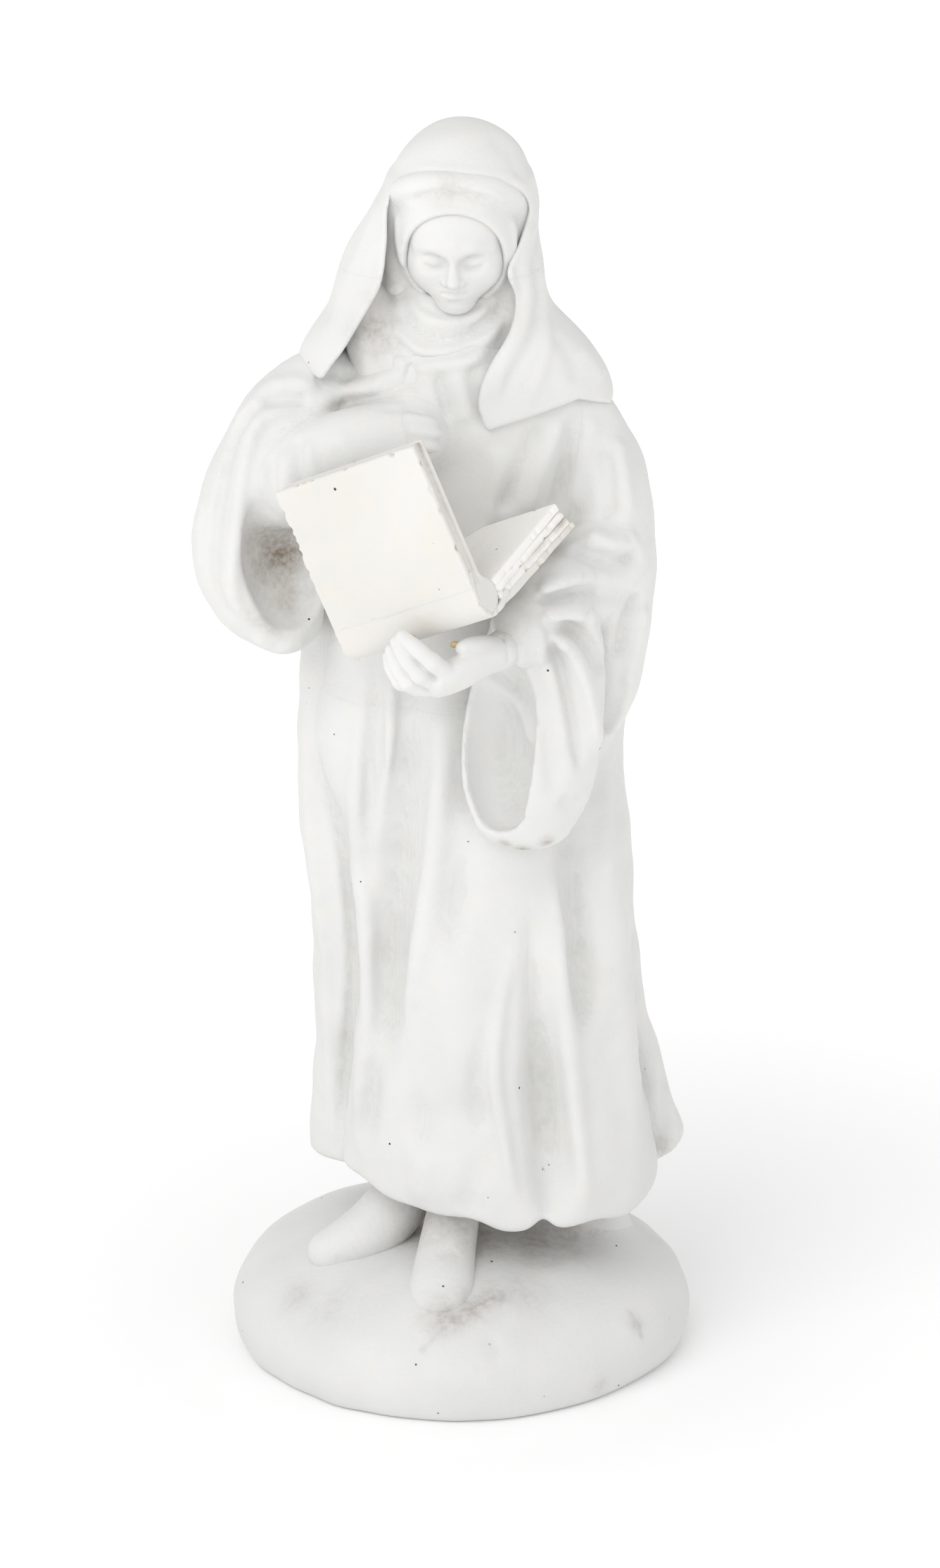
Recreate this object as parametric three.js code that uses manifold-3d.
// A veiled woman reading a book: a biscuit porcelain statuette on a pebble-shaped mound.
// The figure is slip-cast in pieces that are luted together before firing, so nothing moves.
// Millimetres, +Z up, the figure looks along -Y, and +X is on its left-hand side.

import * as THREE from "three";
import { mergeVertices } from "three/addons/utils/BufferGeometryUtils.js";
import Module from "manifold-3d";

const wasm = await Module();
wasm.setup();

// Driving dimensions
const FIGURE_HEIGHT = 300; // floor to the top of the veil
const CAST_WALL = 4.5; // slip-cast wall of the hollow pieces
const CLOTH_WALL = 2.6; // thin cast drapery, such as the veil
const LUTE_GAP = 0.3; // joint left between two neighbouring castings
const BASE_RIM_RADIUS = 52; // footprint of the mound
const BASE_BELLY_RADIUS = 54; // widest level of the mound
const BASE_HEIGHT = 30;
const WAIST_SEAM = 165; // level where the skirt and the torso castings meet
const BOOK_HEIGHT = 43; // along the spine
const BOARD_WIDTH = 34.5; // spine to fore edge
const BOARD_THICKNESS = 1.5;
const BOOK_SPINE_WIDTH = 11;
const BOOK_OPENING = THREE.MathUtils.degToRad(78); // angle between the two boards

// ---- Solids -------------------------------------------------------------------------------

const vector = (list) => new THREE.Vector3(...list);

// The solid bounded by a closed geometry.
function solid(geometry) {
  const bare = geometry.clone();
  bare.deleteAttribute("normal");
  bare.deleteAttribute("uv");
  const merged = mergeVertices(bare, 1e-4);
  return new wasm.Manifold(
    new wasm.Mesh({
      numProp: 3,
      vertProperties: new Float32Array(merged.attributes.position.array),
      triVerts: new Uint32Array(merged.index.array),
    }),
  );
}

// The largest connected body of a solid, as a geometry.
function bodyGeometry(cut) {
  const bodies = cut.decompose();
  bodies.sort((a, b) => b.volume() - a.volume());
  const mesh = bodies[0].getMesh();
  const geometry = new THREE.BufferGeometry();
  geometry.setAttribute("position", new THREE.BufferAttribute(mesh.vertProperties, 3));
  geometry.setIndex(new THREE.BufferAttribute(mesh.triVerts, 1));
  return geometry;
}

// Moves every vertex of a geometry to place(x, y, z).
function warp(geometry, place) {
  const position = geometry.attributes.position;
  for (let i = 0; i < position.count; i++) {
    const p = place(position.getX(i), position.getY(i), position.getZ(i));
    position.setXYZ(i, p.x, p.y, p.z);
  }
  return geometry;
}

// A body lofted upwards through stations [x, y, z, halfWidth, front, back]. Its sections are
// half ellipses in front and behind. lift(x, y, share) raises a section's points, and
// relief(x, z) pushes the front outwards.
function loft(stations, { grow = 0, around = 40, along = 16, lift, relief } = {}) {
  const centres = new THREE.CatmullRomCurve3(stations.map((s) => vector(s.slice(0, 3))));
  const sizes = new THREE.CatmullRomCurve3(stations.map((s) => vector(s.slice(3))));
  const cylinder = new THREE.CylinderGeometry(1, 1, 2, around, along);
  return solid(
    warp(cylinder, (across, height, forward) => {
      const share = (height + 1) / 2;
      const centre = centres.getPoint(share);
      const size = sizes.getPoint(share);
      const depth = (forward > 0 ? size.y : size.z) + grow;
      const p = new THREE.Vector3(centre.x + across * (size.x + grow), 0, centre.z + height * grow);
      const bulge = relief ? relief(p.x, p.z) * Math.max(forward, 0) ** 0.5 : 0;
      p.y = centre.y - forward * (depth + bulge);
      if (lift) p.z += lift(p.x, p.y, share);
      return p;
    }),
  );
}

// A limb with round ends along stations [x, y, z, halfWidth, halfDepth]. The width runs square
// to the path and to the reference direction.
function limb(stations, { grow = 0, around = 16, along = 10, fullness = 0.6, reference = [0, 1, 0] } = {}) {
  const path = new THREE.CatmullRomCurve3(stations.map((s) => vector(s.slice(0, 3))));
  const sizes = new THREE.CatmullRomCurve3(stations.map((s) => vector([s[3], s[4], 0])));
  const sphere = new THREE.SphereGeometry(1, around, along);
  return solid(
    warp(sphere, (x, y, z) => {
      const share = THREE.MathUtils.clamp((1 - y) / 2, 0, 1);
      const back = path.getTangent(share).negate();
      const side = back.clone().cross(vector(reference)).normalize();
      const other = side.clone().cross(back);
      const size = sizes.getPoint(share);
      const radial = Math.hypot(x, z);
      const swell = radial > 1e-6 ? radial ** fullness / radial : 0;
      return path
        .getPoint(share)
        .addScaledVector(back, y * grow)
        .addScaledVector(side, x * swell * (size.x + grow))
        .addScaledVector(other, z * swell * (size.y + grow));
    }),
  );
}

// An axis-aligned block between two corners.
function block(low, high) {
  const size = vector(high).sub(vector(low));
  const middle = vector(high).add(vector(low)).multiplyScalar(0.5);
  const box = new THREE.BoxGeometry(size.x, size.y, size.z);
  return solid(box.translate(middle.x, middle.y, middle.z));
}

// A block seen from the front as an outline of [x, z] points, from front to back in y.
function frontalPrism(outline, front, back) {
  const shape = new THREE.Shape(outline.map(([x, z]) => new THREE.Vector2(x, z)));
  const prism = new THREE.ExtrudeGeometry(shape, { depth: back - front, bevelEnabled: false });
  return solid(prism.rotateX(Math.PI / 2).translate(0, back, 0));
}

// ---- Scene graph --------------------------------------------------------------------------

const PORCELAIN = { color: 0xe6e6e2, roughness: 0.62, metalness: 0 };
const CREAM_PORCELAIN = { color: 0xe9e5dc, roughness: 0.6, metalness: 0 };
const COOL_PORCELAIN = { color: 0xdfe1e0, roughness: 0.68, metalness: 0 };
const AGED_GLUE = { color: 0xb98a4a, roughness: 0.3, metalness: 0 };

const figure = new THREE.Group();

function addPiece(name, geometry, finish = PORCELAIN, parent = figure) {
  const mesh = new THREE.Mesh(geometry, new THREE.MeshStandardMaterial(finish));
  mesh.name = name;
  parent.add(mesh);
  return mesh;
}

// ---- Mound --------------------------------------------------------------------------------

// A profile of [radius, height] points turned about the vertical axis.
const upright = (profile) => new THREE.LatheGeometry(profile, 36).rotateX(Math.PI / 2);

// Lathe profile points of a dome from its apex to its rim.
function domeArc(radius, height, bellyLevel, steps) {
  const points = [];
  for (let i = 0; i <= steps; i++) {
    const turn = (i / steps) * (Math.PI / 2);
    points.push(new THREE.Vector2(radius * Math.sin(turn), bellyLevel + (height - bellyLevel) * Math.cos(turn)));
  }
  return points;
}

const BELLY_LEVEL = 8;

function moundGeometry() {
  const outer = domeArc(BASE_BELLY_RADIUS, BASE_HEIGHT, BELLY_LEVEL, 7);
  const inner = domeArc(BASE_BELLY_RADIUS - CAST_WALL - 1.5, BASE_HEIGHT - CAST_WALL, BELLY_LEVEL - 2, 5);
  const rim = [
    new THREE.Vector2(BASE_BELLY_RADIUS - 0.4, 3),
    new THREE.Vector2(BASE_RIM_RADIUS, 0),
    new THREE.Vector2(BASE_RIM_RADIUS - CAST_WALL - 1.5, 0),
  ];
  const profile = [...outer, ...rim, ...inner.reverse()];
  return upright(profile.reverse());
}

// The mound's outside, grown by the lute gap, for cutting what stands on it.
function moundClearance() {
  const dome = domeArc(BASE_BELLY_RADIUS + LUTE_GAP, BASE_HEIGHT + LUTE_GAP, BELLY_LEVEL, 7);
  const profile = [new THREE.Vector2(0, -5), new THREE.Vector2(BASE_BELLY_RADIUS + LUTE_GAP, -5), ...dome.reverse()];
  return solid(upright(profile));
}

addPiece("base_mound", moundGeometry(), COOL_PORCELAIN);
const moundCutter = moundClearance();

// ---- Skirt --------------------------------------------------------------------------------

// Stations of the skirt from hem to waist, and of the torso from waist to collar.
const SKIRT = [
  [9.3, -1, 40, 37.8, 31.5, 24],
  [9.0, -1, 52, 36.8, 31, 24],
  [7.8, -1, 68, 34.8, 30, 23.5],
  [8.0, -1, 90, 32.8, 28.5, 23],
  [7.0, -1, 125, 33.4, 26, 23],
  [2.5, -1, 150, 35.2, 24, 22],
  [1.5, -1, WAIST_SEAM, 33.5, 22, 21],
];
const TORSO = [
  [1.5, -1, WAIST_SEAM, 33.5, 22, 21],
  [1.5, 0, 190, 31, 16, 19],
  [1.5, 1, 212, 32, 16, 18],
  [1.0, 0, 230, 33, 16, 16],
  [0.0, 0, 240, 26, 14, 14],
  [-1.0, -1, 248, 14, 11, 11],
];

// Folds of the skirt front: the line of each runs from [x, z] at the top to [x, z] at the hem.
const SKIRT_FOLDS = [
  { top: [-15, 160], foot: [-21, 95], depth: -3.5, width: 3.5 },
  { top: [-6, 160], foot: [-15, 60], depth: 2.0, width: 4 },
  { top: [23, 140], foot: [31, 60], depth: -3.0, width: 3.5 },
  { top: [17, 115], foot: [23, 38], depth: -6.0, width: 4 },
  { top: [12, 110], foot: [13, 38], depth: 2.2, width: 3 },
  { top: [38, 110], foot: [40, 38], depth: 2.0, width: 6 },
];

// How far the folds push the skirt front outwards at (x, z).
function skirtRelief(x, z) {
  let push = 0;
  for (const { top, foot, depth, width } of SKIRT_FOLDS) {
    const share = THREE.MathUtils.clamp((top[1] - z) / (top[1] - foot[1]), 0, 1);
    const line = THREE.MathUtils.lerp(top[0], foot[0], share);
    const fade = THREE.MathUtils.smoothstep(top[1] + 8 - z, 0, 30);
    push += depth * fade * Math.exp(-(((x - line) / width) ** 2));
  }
  return push;
}

// The hem dips at the front and rides up at the figure's right and back.
function hemLift(x, y, share) {
  const atHem = THREE.MathUtils.clamp(1 - share * 6, 0, 1);
  const sides = THREE.MathUtils.smoothstep(-x, -6, 26) * 7 + THREE.MathUtils.smoothstep(x, 20, 46) * 4;
  const behind = THREE.MathUtils.smoothstep(y, -20, 10) * 4;
  return atHem * Math.min(sides + behind, 8);
}

const skirtOptions = { around: 48, along: 15, lift: hemLift, relief: skirtRelief };
const skirtOutside = (grow) => loft(SKIRT, { ...skirtOptions, grow });

// The skirt's cavity, open at the hem and closed a wall's thickness below the waist.
const SKIRT_CAVITY = [
  [9.3, -1, 30, 33.3, 26.5, 19.5],
  [9.0, -1, 60, 31.5, 25, 19],
  [8.0, -1, 90, 28, 22, 18],
  [6.5, -1, 130, 28, 20, 18],
  [3.0, -1, WAIST_SEAM - CAST_WALL, 27, 16, 16],
];
const skirtCavity = (grow) => loft(SKIRT_CAVITY, { grow, around: 24, along: 5 });

addPiece("robe_skirt", bodyGeometry(skirtOutside(0).subtract(skirtCavity(0))), COOL_PORCELAIN);

// A plate closes the skirt from below; the feet and the train are luted to its underside.
const PLATE_LEVEL = 53;
const PLATE_THICKNESS = 4;
const plateSlab = block([-40, -40, PLATE_LEVEL], [60, 40, PLATE_LEVEL + PLATE_THICKNESS]);
addPiece("skirt_closing_plate", bodyGeometry(skirtCavity(-LUTE_GAP).intersect(plateSlab)), COOL_PORCELAIN);

// ---- Feet and train -----------------------------------------------------------------------

const underPlate = block([-60, -60, -5], [60, 60, PLATE_LEVEL - LUTE_GAP]);
const standing = (shape) => shape.intersect(underPlate).subtract(moundCutter);

// The figure's right foot points to its right, the left one forwards from under the hem.
const rightFoot = limb(
  [
    [-34, -8, 24, 4.2, 4.2],
    [-27, -7, 26, 5.2, 5.2],
    [-18, -5, 30, 6, 6.5],
    [-11, -3, 40, 6, 7],
    [-10, -2, 60, 6, 7],
  ],
  { reference: [0, 0, 1] },
);
addPiece("right_foot", bodyGeometry(standing(rightFoot)));

const leftFoot = limb(
  [
    [-5, -35, 24.5, 7, 4],
    [-4, -29, 28, 7.8, 5.2],
    [-2, -19, 34, 6.5, 6.5],
    [0, -14, 42, 6, 6.5],
    [0, -12, 60, 6, 6.5],
  ],
  { reference: [0, 0, 1] },
);
addPiece("left_foot", bodyGeometry(standing(leftFoot)));

const trainShape = (grow) =>
  loft(
    [
      [27, 8, 6, 23, 12, 14],
      [27, 6, 22, 20, 10, 13],
      [26, 2, 36, 13, 8, 11],
      [24, 1, 60, 12, 8, 10],
    ],
    { grow, around: 24, along: 6 },
  );
const skirtWall = skirtOutside(LUTE_GAP).subtract(skirtCavity(-LUTE_GAP));
addPiece("robe_train", bodyGeometry(standing(trainShape(0)).subtract(skirtWall)), COOL_PORCELAIN);

// ---- Torso --------------------------------------------------------------------------------

const torsoOutside = (grow) => loft(TORSO, { grow, around: 32, along: 8 });
const torsoCavity = loft(
  [
    [1.5, -1, WAIST_SEAM - 2, 26, 15, 15],
    [1.5, 0, 195, 24, 11, 13],
    [1.0, 0, 226, 20, 10, 10],
  ],
  { around: 20, along: 4 },
);
const torsoWhole = torsoOutside(0).subtract(torsoCavity);
const aboveSeam = block([-70, -70, WAIST_SEAM + LUTE_GAP], [70, 70, FIGURE_HEIGHT + 5]);
addPiece("robe_torso", bodyGeometry(torsoWhole.intersect(aboveSeam)));

// ---- Cloak --------------------------------------------------------------------------------

// The cloak hangs behind the robe from the shoulders almost to the hem, and flares to the left.
const CLOAK = [
  [9, 8, 44, 45, 20, 28],
  [7.5, 8, 60, 42.5, 21, 26],
  [5, 8, 80, 39.5, 21, 24],
  [3.5, 8, 100, 38.5, 22, 22.5],
  [0.5, 7, 134, 38.5, 20, 22],
  [0.5, 6, 165, 38, 18, 20],
  [1, 5, 195, 35.5, 16, 18],
  [1, 3, 220, 35, 12, 17],
  [1, 2, 234, 32, 6, 15],
];
const robeClearance = skirtOutside(LUTE_GAP).add(torsoOutside(LUTE_GAP));
const cloakOutside = (grow) => loft(CLOAK, { grow, around: 28, along: 9 });
const cloakBlank = cloakOutside(0).subtract(robeClearance).subtract(skirtCavity(0));
const cloak = cloakBlank.subtract(trainShape(LUTE_GAP));
const behindFigure = frontalPrism([[-60, 40], [60, 40], [60, 240], [-60, 240]], -12, 60);
addPiece("cloak", bodyGeometry(cloak.intersect(behindFigure)), COOL_PORCELAIN);
const bodyClearance = robeClearance.add(cloakOutside(LUTE_GAP).intersect(behindFigure));

// ---- Right arm ----------------------------------------------------------------------------

const rightSleeveOutside = (grow) =>
  limb(
    [
      [-32, 0, 245, 9, 9],
      [-42, -4, 229, 12.5, 13],
      [-47, -8, 206, 14.5, 15],
      [-44, -9, 190, 14.5, 14],
      [-38, -9, 178, 9, 10],
    ],
    { grow, around: 20, along: 12 },
  );
const rightSleeveCavity = limb(
  [
    [-34, -17, 234, 5, 6],
    [-37, -20, 220, 8, 9],
    [-38, -21, 203, 11.5, 11],
    [-34, -20, 188, 9, 8],
  ],
  { around: 16 },
);
const rightForearm = (grow) =>
  limb(
    [
      [-45, -13, 212, 6, 6.5],
      [-36, -20, 219, 8.5, 8.5],
      [-24, -27, 227, 8.5, 8],
      [-12, -29, 232, 6, 6],
    ],
    { grow, reference: [0, 0, 1] },
  );
const rightSleeve = rightSleeveOutside(0)
  .subtract(rightSleeveCavity)
  .subtract(bodyClearance)
  .subtract(rightForearm(LUTE_GAP));
addPiece("right_sleeve", bodyGeometry(rightSleeve));
addPiece("right_forearm", bodyGeometry(rightForearm(0).subtract(bodyClearance)));

const rightHand = limb(
  [
    [-13, -30, 233, 3.5, 4],
    [-7, -32, 235, 3, 5],
    [-3, -33, 232, 2.2, 4],
  ],
  { around: 14, along: 8, reference: [0, 0, 1] },
);
addPiece("right_hand", bodyGeometry(rightHand.subtract(rightForearm(LUTE_GAP)).subtract(bodyClearance)));

// ---- Left arm -----------------------------------------------------------------------------

const leftUpperSleeve = (grow) =>
  limb(
    [
      [30, 1, 238, 9, 9],
      [34.5, -1, 222, 9.5, 12],
      [35.5, -5, 204, 10.5, 13],
      [34, -10, 186, 11.5, 13],
      [33, -13, 170, 9, 10],
      [32, -14, 158, 5, 6],
    ],
    { grow, along: 12 },
  );
addPiece("left_upper_sleeve", bodyGeometry(leftUpperSleeve(0).subtract(bodyClearance)));

const leftForearm = (grow) =>
  limb(
    [
      [24, -22, 192, 6, 8],
      [18, -33, 190, 5.5, 6],
      [11, -44, 190, 4.6, 4.6],
    ],
    { grow, around: 12, along: 6, reference: [0, 0, 1] },
  );
const leftBell = (grow) =>
  limb(
    [
      [20, -30, 197, 8, 6],
      [22, -30, 182, 12, 8],
      [19, -31, 166, 15, 9.5],
      [16, -32, 150, 13.5, 9.5],
      [14, -33, 138, 8, 6],
    ],
    { grow, around: 20, along: 12 },
  );
const leftBellCavity = limb(
  [
    [8, -40, 184, 5, 5],
    [7, -37, 170, 7.5, 6],
    [8, -36, 154, 7.5, 6],
    [10, -35, 146, 5, 4],
  ],
  { around: 16 },
);
const armClearance = bodyClearance.add(leftUpperSleeve(LUTE_GAP));
const bell = leftBell(0)
  .subtract(leftBellCavity)
  .subtract(armClearance)
  .subtract(leftForearm(LUTE_GAP));
addPiece("left_sleeve_bell", bodyGeometry(bell));
addPiece("left_forearm", bodyGeometry(leftForearm(0).subtract(armClearance)));

// ---- Left hand ----------------------------------------------------------------------------

const BACK_OF_HAND = [0.5, -0.5, -0.7]; // the way the back of the hand faces
const palmShape = (grow) =>
  limb(
  [
    [9.5, -46, 190, 4.2, 3.4],
    [3.5, -50, 186.8, 5, 3],
    [-3, -53, 184.4, 5, 2.6],
    [-6.5, -55, 184.6, 4, 1.8],
  ],
  { grow, around: 14, along: 8, fullness: 0.5, reference: BACK_OF_HAND },
);

// Four fingers side by side, from the index finger to the little finger.
const KNUCKLES = [
  { root: [-3, -57, 187], bend: [-9.5, -59, 188.5], tip: [-13.5, -57, 193.5] },
  { root: [-4, -56, 184.5], bend: [-11, -58, 186.5], tip: [-14.8, -56, 191.5] },
  { root: [-4.5, -54, 182.8], bend: [-11.5, -56, 184.6], tip: [-15.5, -54, 189.5] },
  { root: [-5, -51.5, 181.8], bend: [-11, -53, 182.6], tip: [-15.3, -51.5, 187.2] },
];
const FINGER_RADIUS = 1.6;
const fingerSize = [FINGER_RADIUS, FINGER_RADIUS];
const THUMB = [
  [7, -52, 189.5, 2.2, 2.2],
  [4.5, -55, 191.5, 2, 2],
  [1, -56.5, 193.2, 1.6, 1.6],
];
function handShape(grow) {
  const options = { grow, around: 10, along: 6 };
  let hand = palmShape(grow).add(limb(THUMB, options));
  for (const { root, bend, tip } of KNUCKLES) {
    const stations = [root, bend, tip].map((point) => [...point, ...fingerSize]);
    hand = hand.add(limb(stations, options));
  }
  return hand;
}

// ---- Book ---------------------------------------------------------------------------------

// The book stands half open on the left hand, its spine rising towards the figure's left.
const SPINE_MIDDLE = vector([-9, -46.2, 195.8]);
const SPINE_DIRECTION = vector([0.732, -0.535, 0.422]).normalize();
const OPENING_DIRECTION = vector([0.05, 0.658, 0.752]);

const book = new THREE.Group();
const acrossBook = OPENING_DIRECTION.clone().cross(SPINE_DIRECTION).normalize();
const awayFromSpine = SPINE_DIRECTION.clone().cross(acrossBook);
const bookAxes = new THREE.Matrix4().makeBasis(SPINE_DIRECTION, acrossBook, awayFromSpine);
book.quaternion.setFromRotationMatrix(bookAxes);
book.position.copy(SPINE_MIDDLE);
figure.add(book);

// One half of the book, hinged at the spine's front or rear edge.
function bookHalf(side) {
  const half = new THREE.Group();
  half.position.y = (side * BOOK_SPINE_WIDTH) / 2;
  half.rotation.x = (-side * BOOK_OPENING) / 2;
  book.add(half);
  return half;
}

// A flat sheet or stack of a half: its outer face at a depth, its near edge away from the hinge.
function addSheet(half, side, name, { depth, thickness, near, width, trim, fan = 0 }) {
  const sheet = new THREE.BoxGeometry(BOOK_HEIGHT - 2 * trim, thickness, width);
  const mesh = addPiece(name, sheet, CREAM_PORCELAIN, half);
  mesh.position.set(0, -side * (depth + thickness / 2), near + width / 2);
  mesh.rotation.x = side * fan;
  return mesh;
}

const FRONT = -1;
const REAR = 1;
const frontHalf = bookHalf(FRONT);
const rearHalf = bookHalf(REAR);
const board = { depth: 0, thickness: BOARD_THICKNESS, near: 0.4, width: BOARD_WIDTH, trim: 0 };
addSheet(frontHalf, FRONT, "book_front_board", board);
addSheet(rearHalf, REAR, "book_rear_board", board);

const leafStart = BOARD_THICKNESS + LUTE_GAP;
addSheet(frontHalf, FRONT, "book_front_leaves", {
  depth: leafStart, thickness: 2.6, near: 2, width: 31.5, trim: 0.8,
});
for (let stack = 0; stack < 3; stack++) {
  addSheet(rearHalf, REAR, `book_rear_leaves_${stack + 1}`, {
    depth: leafStart + stack * 1.75, thickness: 1.3, near: 2 + stack * 1.6, width: 31.5 - stack * 1.6, trim: 0.9,
    fan: stack * 0.004,
  });
}

// The back of the book: a shallow channel between the two boards.
function spineGeometry() {
  const half = BOOK_SPINE_WIDTH / 2 - 0.25;
  const channel = new THREE.Shape();
  channel.moveTo(-half, 0);
  channel.quadraticCurveTo(0, -5, half, 0);
  channel.lineTo(half - 1.6, 0.8);
  channel.quadraticCurveTo(0, -2, -half + 1.6, 0.8);
  channel.closePath();
  const settings = { depth: BOOK_HEIGHT, bevelEnabled: false, curveSegments: 6 };
  const extruded = new THREE.ExtrudeGeometry(channel, settings).translate(0, 0, -BOOK_HEIGHT / 2);
  // The outline's x and y become across and away; its depth becomes the spine's length.
  const turn = new THREE.Matrix4().makeBasis(vector([0, 1, 0]), vector([0, 0, 1]), vector([1, 0, 0]));
  return extruded.applyMatrix4(turn);
}
addPiece("book_spine", spineGeometry(), CREAM_PORCELAIN, book);

// The book's outside as one wedge, grown by the gap, in the figure's frame.
function bookClearance(gap) {
  const reach = BOARD_WIDTH + 1;
  const spineHalf = BOOK_SPINE_WIDTH / 2;
  const out = [reach * Math.sin(BOOK_OPENING / 2), reach * Math.cos(BOOK_OPENING / 2)];
  const wedge = new THREE.Shape([
    new THREE.Vector2(-spineHalf - gap, -0.5),
    new THREE.Vector2(-spineHalf * 0.5, -2.6 - gap),
    new THREE.Vector2(spineHalf * 0.5, -2.6 - gap),
    new THREE.Vector2(spineHalf + gap, -0.5),
    new THREE.Vector2(spineHalf + out[0] + gap, out[1] + gap),
    new THREE.Vector2(-spineHalf - out[0] - gap, out[1] + gap),
  ]);
  const length = BOOK_HEIGHT + 2 * gap;
  const prism = new THREE.ExtrudeGeometry(wedge, { depth: length, bevelEnabled: false });
  prism.translate(0, 0, -length / 2);
  prism.applyMatrix4(new THREE.Matrix4().makeBasis(vector([0, 1, 0]), vector([0, 0, 1]), vector([1, 0, 0])));
  book.updateMatrix();
  return solid(prism.applyMatrix4(book.matrix));
}

// Cuts a placed mesh by a solid that is given in the figure's frame.
function cutInPlace(mesh, cutter) {
  figure.updateMatrixWorld(true);
  const placed = solid(mesh.geometry.clone().applyMatrix4(mesh.matrixWorld));
  const intoMesh = mesh.matrixWorld.clone().invert();
  mesh.geometry = bodyGeometry(placed.subtract(cutter)).applyMatrix4(intoMesh);
}

// The rear half rests against the robe, so its far corner is cut back to the torso.
for (const mesh of rearHalf.children) {
  cutInPlace(mesh, bodyClearance);
}

const bookCutter = bookClearance(LUTE_GAP);
addPiece("left_hand", bodyGeometry(handShape(0).subtract(leftForearm(LUTE_GAP)).subtract(bookCutter)));

// Beads of old glue where the finger tips and the thumb touch the book.
const GLUE_BEADS = {
  glue_bead_index: [-12.5, -56, 195.5],
  glue_bead_thumb: [-0.5, -55, 194.2],
};
const handCutter = handShape(LUTE_GAP);
for (const [name, place] of Object.entries(GLUE_BEADS)) {
  const bead = new THREE.SphereGeometry(2.2, 12, 8).translate(...place);
  addPiece(name, bodyGeometry(solid(bead).subtract(bookCutter).subtract(handCutter)), AGED_GLUE);
}

// ---- Head ---------------------------------------------------------------------------------

// The head bows forwards and turns a little to the figure's right.
const HEAD_CENTRE = vector([0, -3, 275]);
const HEAD_BOW = THREE.MathUtils.degToRad(24);
const HEAD_TURN = THREE.MathUtils.degToRad(-4);
const HEAD_HALF = [10.8, 12.5, 15];
const headPose = new THREE.Matrix4()
  .makeRotationFromEuler(new THREE.Euler(HEAD_BOW, 0, HEAD_TURN, "ZXY"))
  .setPosition(HEAD_CENTRE);

// An egg in the head's own frame, face towards -Y, grown by a distance and narrower at the jaw.
function egg(grow, [wide, deep, tall] = HEAD_HALF) {
  const ball = new THREE.SphereGeometry(1, 20, 12).rotateX(Math.PI / 2);
  return warp(ball, (x, y, z) => {
    const jaw = 1 - 0.22 * Math.max(-z, 0) ** 1.5;
    return new THREE.Vector3(x * jaw * (wide + grow), y * (deep + grow), z * (tall + grow));
  });
}

const HEAD_FRONT = -HEAD_HALF[1];
const FEATURES = [
  { place: [0, HEAD_FRONT - 0.2, -3.0], half: [1.4, 2.4, 3.2] }, // nose
  { place: [0, HEAD_FRONT + 1.3, -8.3], half: [2.7, 1.5, 0.8] }, // lips
  { place: [0, HEAD_FRONT + 3.4, -11.6], half: [2.8, 2.2, 2.0] }, // chin
  { place: [-4.2, HEAD_FRONT + 2.2, 0.6], half: [2.4, 1.8, 1.3] }, // right eyelid
  { place: [4.2, HEAD_FRONT + 2.2, 0.6], half: [2.4, 1.8, 1.3] }, // left eyelid
];

// The skull alone, and the whole head with the swellings of its face, in the figure's frame.
const skullShape = (grow) => solid(egg(grow).applyMatrix4(headPose));
function headShape(grow) {
  let head = skullShape(grow);
  for (const { place, half } of FEATURES) {
    const ball = new THREE.SphereGeometry(1, 8, 6).rotateX(Math.PI / 2);
    ball.scale(...half.map((size) => size + grow)).translate(...place);
    head = head.add(solid(ball.applyMatrix4(headPose)));
  }
  return head;
}
addPiece("head", bodyGeometry(headShape(0)), CREAM_PORCELAIN);

// ---- Wimple -------------------------------------------------------------------------------

// The linen band frames the face and runs under the chin; the gorget covers the neck.
const BAND_THICKNESS = 2;
const faceOpening = new THREE.Shape();
faceOpening.absellipse(0, -0.5, 10.4, 13, 0, Math.PI * 2);
const faceWindow = new THREE.ExtrudeGeometry(faceOpening, { depth: 30, bevelEnabled: false, curveSegments: 7 })
  .rotateX(Math.PI / 2)
  .applyMatrix4(headPose);
const faceCutter = solid(faceWindow);
const bandOutside = (grow) => skullShape(BAND_THICKNESS + LUTE_GAP + grow);
const headCutter = headShape(LUTE_GAP);
addPiece("wimple_band", bodyGeometry(bandOutside(0).subtract(headCutter).subtract(faceCutter)));

const gorgetShape = (grow) =>
  loft(
    [
      [-2, -4, 241, 17, 13, 12],
      [-2, -5, 248, 15.5, 13, 12],
      [-1, -4, 256, 12.5, 11.5, 11],
      [0, -3, 266, 11, 10, 10],
    ],
    { grow, around: 20, along: 5 },
  );
const underHead = bandOutside(LUTE_GAP).add(headCutter).add(faceCutter);
addPiece("gorget", bodyGeometry(gorgetShape(0).subtract(bodyClearance).subtract(underHead)));

// ---- Veil ---------------------------------------------------------------------------------

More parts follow.
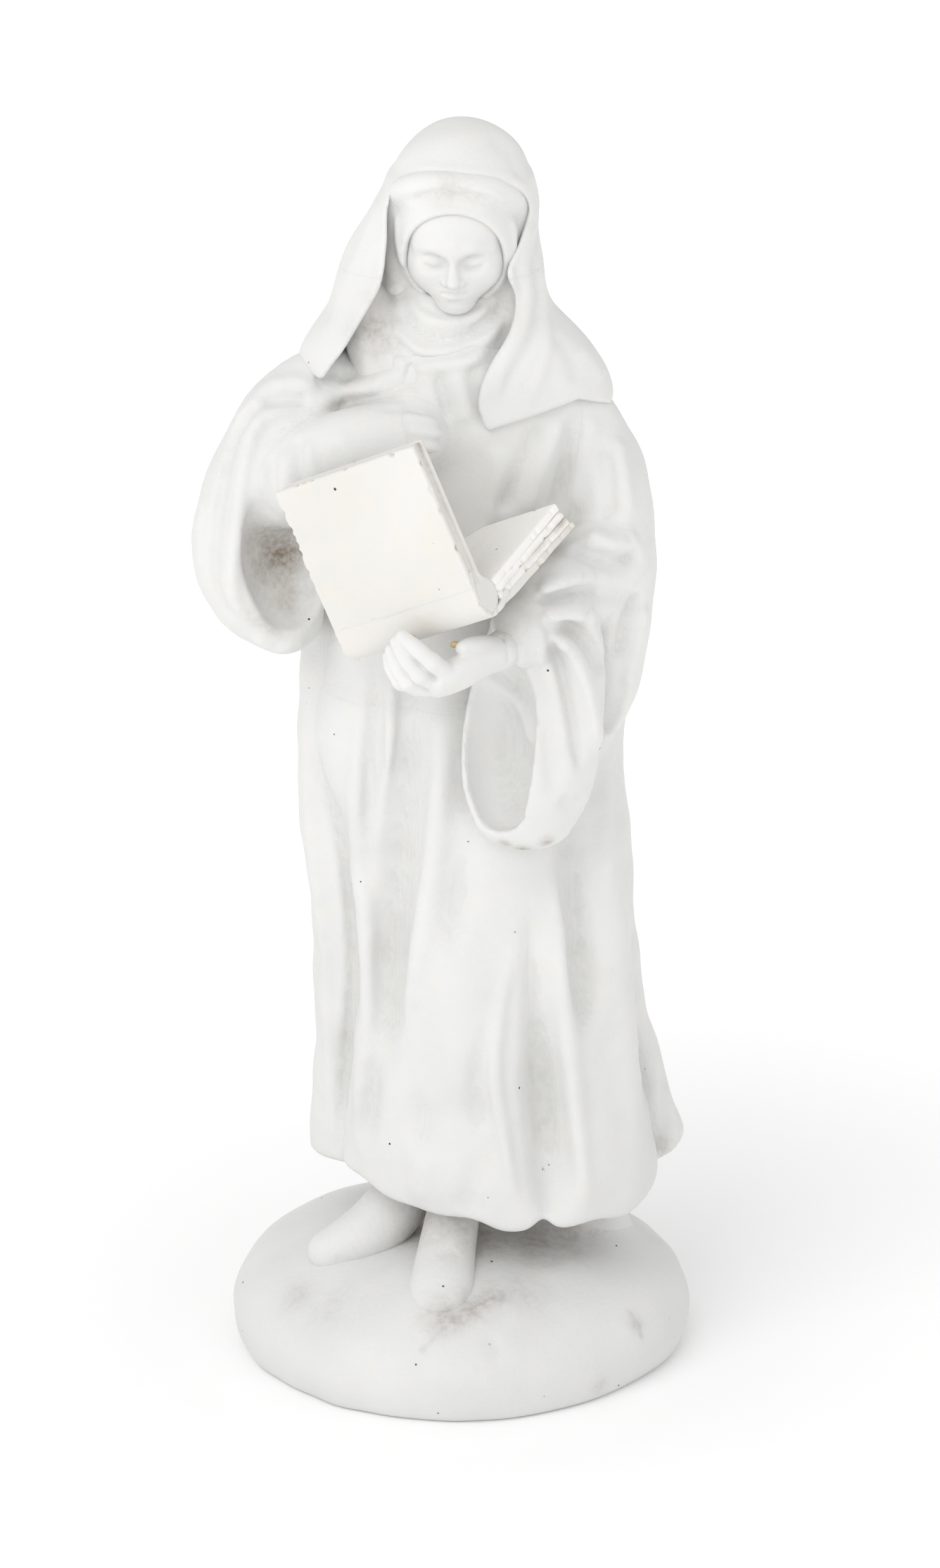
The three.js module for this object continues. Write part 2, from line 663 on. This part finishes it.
// The veil lies over the band, falls in a flap on each side of the face and hangs down the back.
const VEIL = [
  [-1, 1, 236, 37, 20, 18],
  [-2, 1, 246, 31, 19.5, 18],
  [-4, 1, 256, 25.5, 19, 18],
  [-3.5, 0, 268, 22.5, 18.5, 18],
  [-1, -1, 281, 18.3, 18, 18],
  [0.3, -2, 289, 15.6, 16, 17],
  [0, -1, 295, 12, 12.5, 14],
  [-0.3, 0, 298.6, 7.5, 8, 9],
  [-0.5, 0, FIGURE_HEIGHT, 2.5, 3, 4],
];
const veilShape = (grow) => loft(VEIL, { grow, around: 32, along: 12 });
const veilOpening = frontalPrism(
  [
    [-14, 288], [-5, 291], [6, 290.5], [15, 288], [17, 280], [13, 273], [10.5, 266], [12, 260],
    [9, 251], [5.5, 243], [6, 226], [-38, 226], [-30, 244], [-22, 257], [-16.5, 266], [-16, 278],
  ],
  -60,
  -6,
);
const veilInside = veilShape(-CLOTH_WALL)
  .add(bandOutside(LUTE_GAP))
  .add(gorgetShape(LUTE_GAP))
  .add(bodyClearance)
  .add(rightSleeveOutside(LUTE_GAP))
  .add(leftUpperSleeve(LUTE_GAP))
  .add(rightForearm(LUTE_GAP));
const veilSolid = veilShape(0).subtract(veilInside).subtract(veilOpening);

// The veil is cast in a crown, two front flaps and a back fall.
const CROWN_SEAM = 266;
const FLAP_BACK = 3;
const g = LUTE_GAP / 2;
const regions = {
  veil_crown: block([-60, -60, CROWN_SEAM + g], [60, 60, FIGURE_HEIGHT + 5]),
  veil_right_flap: block([-60, -60, 200], [-6, FLAP_BACK - g, CROWN_SEAM - g]),
  veil_left_flap: block([-6 + g, -60, 200], [60, FLAP_BACK - g, CROWN_SEAM - g]),
  veil_back_fall: block([-60, FLAP_BACK + g, 200], [60, 60, CROWN_SEAM - g]),
};
for (const [name, region] of Object.entries(regions)) {
  addPiece(name, bodyGeometry(veilSolid.intersect(region)));
}

// ---- Origin -------------------------------------------------------------------------------

// The part stands on the floor, with the middle of its bounding box over the origin.
const bounds = new THREE.Box3().setFromObject(figure);
const middle = bounds.getCenter(new THREE.Vector3());
figure.position.set(-middle.x, -middle.y, -bounds.min.z);

const statue = new THREE.Group();
statue.add(figure);
export default statue;
